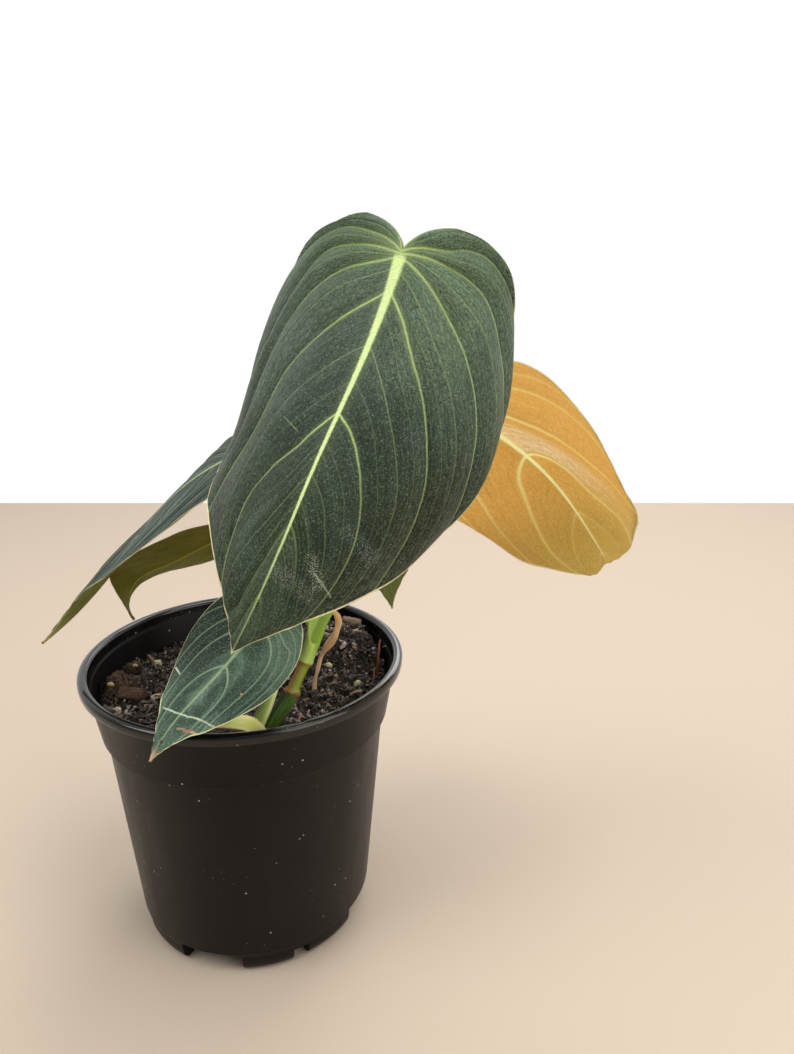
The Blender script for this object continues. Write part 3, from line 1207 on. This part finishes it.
def lump(shape, size, rough):
    """One crumb, uneven and turned at random."""
    verts, faces = shape
    scale = 1 + rough * rng.normal(size=len(verts))
    body = verts * np.clip(scale, 0.45, 1.6)[:, None]
    return (body * np.array(size)) @ turn_matrix().T, faces


def clear_of_stems(x, y, reach):
    """Whether a bit of the mix stays clear of the feet of the stem and the low stalk."""
    feet = [station for station in STEM + STALKS["low"] if station[2] < LIMB_FOOT]
    return all((x - px) ** 2 + (y - py) ** 2 >= (pr + reach * 0.6 + 0.2) ** 2 for px, py, _, pr in feet)


def scatter(count, low, high, shape, rough, lift, squash):
    """Crumbs at random places on the mix, each with a tone from 0 to 1."""
    points, faces, tones = [], [], []
    start = 0
    made = 0
    while made < count:
        r = CRUMB_RADIUS * math.sqrt(rng.random())
        a = rng.random() * 2 * math.pi
        x, y = r * math.cos(a), r * math.sin(a)
        size = low * (high / low) ** (rng.random() ** 1.6)
        if r + size > POT_INSIDE or not clear_of_stems(x, y, size):
            continue
        body, tri = lump(shape, (size, size * rng.uniform(*squash), size * rng.uniform(*squash)), rough)
        z = float(soil_height(x, y)) - 0.5 + lift * size * rng.uniform(-0.4, 1.0)
        points.append(body + np.array([x, y, z]))
        faces.append(tri + start)
        tones.append(np.full(len(body), rng.random()))
        start += len(body)
        made += 1
    return np.concatenate(points), np.concatenate(faces), np.concatenate(tones)


def loose_mix(name, slot, skin, *how):
    """A piece of scattered crumbs."""
    points, faces, tones = scatter(*how)
    made = mesh_object(name, points, faces, {"tone": tones}, [skin], smooth=False)
    belongs(made, None)


crumb_skin, chip_skin = crumb_shader("crumb_dark", 0.38), crumb_shader("chip_dark", 0.34)
loose_mix("soil_crumbs", "potting_mix", crumb_skin, 8000, 0.28, 1.15, icosphere(1), 0.34, 0.6, (0.35, 0.95))
loose_mix("soil_chips", "bark", chip_skin, 760, 0.9, 2.3, icosphere(2), 0.24, 0.45, (0.22, 0.7))


def loose_fibres(seed, count, centre, reach, length, thick, up):
    """Paths of fibres that lie on the mix round a place."""
    draw = np.random.default_rng(seed)
    paths = []
    while len(paths) < count:
        x, y = np.array(centre) + draw.normal(size=2) * reach
        a, turn = draw.uniform(0, 2 * np.pi), draw.normal() * 0.45
        step = draw.uniform(*length) / 4
        rise = draw.uniform(0, up)
        radius = draw.uniform(*thick)
        path = []
        for k in range(5):
            z = float(soil_height(x, y)) + 0.3 + rise * math.sin(math.pi * (k + 0.5) / 5)
            path.append((x, y, z, radius * (1 - 0.12 * k)))
            x, y, a = x + math.cos(a) * step, y + math.sin(a) * step, a + turn
        if all(math.hypot(px, py) < SOIL_RADIUS and clear_of_stems(px, py, 0.4) for px, py, _, _ in path):
            paths.append(path)
    return paths


fibre_brown = limb_shader("fibre_brown", "#604c38", "#8c7254", "#3c2e24", None, 0.7)
fibre_pale = limb_shader("fibre_pale", "#9e7a5c", "#c09e7c", "#74543e", None, 0.6)
spread = loose_fibres(21, 70, (0, 0), 27, (2.5, 7), (0.1, 0.22), 1.0)
strands("soil_fibres", fibre_brown, spread)
tangle = loose_fibres(22, 150, (-47, -6), 2.5, (3, 8), (0.08, 0.17), 5.2)
strands("clump_fibres", fibre_brown, tangle)
strands("soil_slivers", fibre_pale, [
    [(40.3, -13, 96.6, 0.25), (41.6, -12.6, 97.2, 0.42), (43.2, -12, 97.4, 0.5), (45.2, -11, 97, 0.2)],
    [(23.4, -30.8, 96.6, 0.3), (24.2, -30.2, 97.4, 0.45), (25, -29.9, 97.5, 0.45), (25.9, -30.1, 97, 0.25)],
    [(49.3, 1.8, 100.2, 0.25), (49.1, 0.8, 98.6, 0.3), (48.9, -0.2, 97.0, 0.3), (48.7, -1.0, 95.0, 0.3)],
    [(52.3, 9.4, 105.2, 0.22), (52.7, 8.6, 105.9, 0.2), (53.2, 8.0, 106.3, 0.2), (53.8, 7.8, 106.6, 0.15)],
])
grain_pale = limb_shader("grain_pale", "#caac7c", "#e2c898", "#967854", None, 0.8)
strands("soil_grains", grain_pale, [
    [(-50, -9.2, 98.7, 0.4), (-49.4, -9.6, 99.2, 0.75), (-48.4, -9.8, 99.3, 0.85), (-47.5, -9.9, 98.9, 0.4)],
    [(-45.8, 7.1, 98.3, 0.3), (-45.2, 6.9, 98.7, 0.55), (-44.5, 6.7, 98.7, 0.6), (-43.9, 6.6, 98.3, 0.3)],
], sides=10, steps=6)
strands("soil_shards", fibre_brown, [
    [(-42.8, 16.8, 98.4, 0.3), (-41.0, 13.6, 99.0, 0.55), (-38.6, 9.8, 98.8, 0.65), (-36.2, 6.0, 97.4, 0.35)],
    [(31.6, -8.8, 97.6, 0.25), (32.8, -8.2, 98.5, 0.4), (34.2, -7.4, 98.6, 0.4), (35.8, -6.2, 98.0, 0.2)],
])


def bit_shader(name, ground, streak, spot, along=9.0, rough=0.7):
    """Skin of a chip or grain: streaks along its length, pits and a rough face."""
    sh = Shader(name)
    here = sh.where()
    lines = sh.noise(sh.stretch(here, (1, along, along)), 170, 5, 0.7)
    fine = sh.noise(here, 1300, 4, 0.7)
    skin = sh.mix(lines.step(0.35, 0.65), ground, streak)
    skin = sh.mix(fine.step(0.52, 0.7) * 0.6, skin, spot)
    normal = sh.bump(lines + fine * 0.6, 0.9, 0.0012)
    return sh.set(color=skin, rough=rough, normal=normal, specular=0.35)


bark_dark = bit_shader("bark_dark", "#34241e", "#604434", "#967054")
bark_clump = bit_shader("bark_clump", "#241b16", "#624b34", "#a0845c", 3.0, 0.8)
bark_tan = bit_shader("bark_tan", "#705c4c", "#8e7864", "#a8947c")
perlite_skin = bit_shader("perlite_skin", "#c4c08e", "#d8d4a8", "#a09868", 1.5, 0.8)
# Loose bits: node, slot, skin, place, three half sizes, turn, how boxy and how uneven each is
BITS = (
    ("bark_chip_1", "bark", bark_dark, -40.2, -12.8, (5.4, 2.8, 2.6), -8, 7.0, 0.035),
    ("bark_chip_2", "bark", bark_clump, -47.6, -5.6, (4.4, 5, 3.8), 12, 2.0, 0.12),
    ("bark_chip_3", "bark", bark_clump, -46, 9.6, (3.4, 3, 2.8), 24, 2.0, 0.14),
    ("bark_chip_4", "bark", bark_tan, 38.6, 33.6, (5.2, 2, 1.5), -30, 2.6, 0.08),
    ("perlite_1", "perlite_grain", perlite_skin, -40.4, 18.8, (2.1, 1.8, 1.6), 0, 2.2, 0.1),
    ("perlite_2", "perlite_grain", perlite_skin, 31, 7.4, (1.7, 1.1, 0.9), -30, 2.2, 0.1),
    ("perlite_3", "perlite_grain", perlite_skin, 43.2, -3.6, (1.6, 1.3, 1.2), 50, 2.2, 0.1),
)
BIT_TILT = 0.35
ball, faces = icosphere(4)
for node, slot, material, x, y, half, turn, boxy, jag in BITS:
    draw = np.random.default_rng(len(node) + int(abs(x)))
    body = ball / (np.abs(ball) ** boxy).sum(1, keepdims=True) ** (1 / boxy)
    for pitch in (2.5, 5, 9, 16):
        way = draw.normal(size=(3, 3)) * pitch
        ripple = np.sin(ball @ way[0] + 2 * np.sin(ball @ way[1]) + draw.uniform(0, 6))
        body = body * (1 + jag * 1.6 / pitch ** 0.5 * ripple)[:, None]
    turned = np.array(Euler((BIT_TILT, 0, math.radians(turn))).to_matrix())
    body = (body * np.array(half) * 0.92) @ turned.T
    body = body + np.array([x, y, float(soil_height(x, y)) + 0.35 * half[2]])
    belongs(mesh_object(f"{node}_rough", body, faces, None, [material]), node)

# Camera, light, floor
CAMERA_AT = (0.05795, -0.27507, 0.24184)
LENS_MM, SENSOR_MM = 27.09, 36
LOOKS_DOWN = 17.03
FLOOR_SIDE, FLOOR_NEAR, FLOOR_FAR = 1500, -1200, 609
scene = bpy.context.scene
camera_data = bpy.data.cameras.new("camera")
camera_data.lens = LENS_MM
camera_data.sensor_width = SENSOR_MM
camera_data.clip_start = 0.01
camera = bpy.data.objects.new("camera", camera_data)
camera.location = CAMERA_AT
camera.rotation_euler = Euler((math.radians(90 - LOOKS_DOWN), 0, 0))
scene.collection.objects.link(camera)
scene.camera = camera

floor_skin = Shader("floor_pale").set(color=(0.47, 0.39, 0.31), rough=0.7, specular=0.1)
corners = [
    (-FLOOR_SIDE, FLOOR_NEAR, 0), (FLOOR_SIDE, FLOOR_NEAR, 0),
    (FLOOR_SIDE, FLOOR_FAR, 0), (-FLOOR_SIDE, FLOOR_FAR, 0),
]
floor = mesh_object("floor", corners, np.array([[0, 1, 2, 3]]), None, [floor_skin], smooth=False)


def area_light(name, place, target, size, power, color):
    """A square lamp that looks at a target, in metres and watts."""
    data = bpy.data.lights.new(name, "AREA")
    data.energy = power
    data.size = size
    data.color = color
    lamp = bpy.data.objects.new(name, data)
    lamp.location = place
    lamp.rotation_euler = (Vector(target) - Vector(place)).to_track_quat("-Z", "Y").to_euler()
    scene.collection.objects.link(lamp)


area_light("key", (-0.7, -0.35, 1.0), (0.03, 0, 0.15), 0.7, 8.4, (1.0, 0.98, 0.95))
area_light("fill", (0.9, -0.6, 0.6), (0.03, 0, 0.15), 0.9, 7.6, (1.0, 0.97, 0.94))
area_light("top", (0.35, -0.15, 1.1), (0.05, 0, 0.15), 0.6, 6, (1.0, 0.99, 0.96))
area_light("back", (0.3, 0.8, 0.8), (0.06, 0, 0.16), 0.7, 5.8, (1.0, 1.0, 1.0))
world = Shader("studio", "worlds")
back = world.tree.nodes["Background"]
depth = world.split(world.node("ShaderNodeTexCoord").outputs["Generated"])[1]
world.link(depth.step(-0.3, 0.6, 0.3, 1.02), back.inputs["Strength"])
world.link((1, 1, 1), back.inputs["Color"])
scene.world = world.owner
scene.view_settings.view_transform = "Standard"
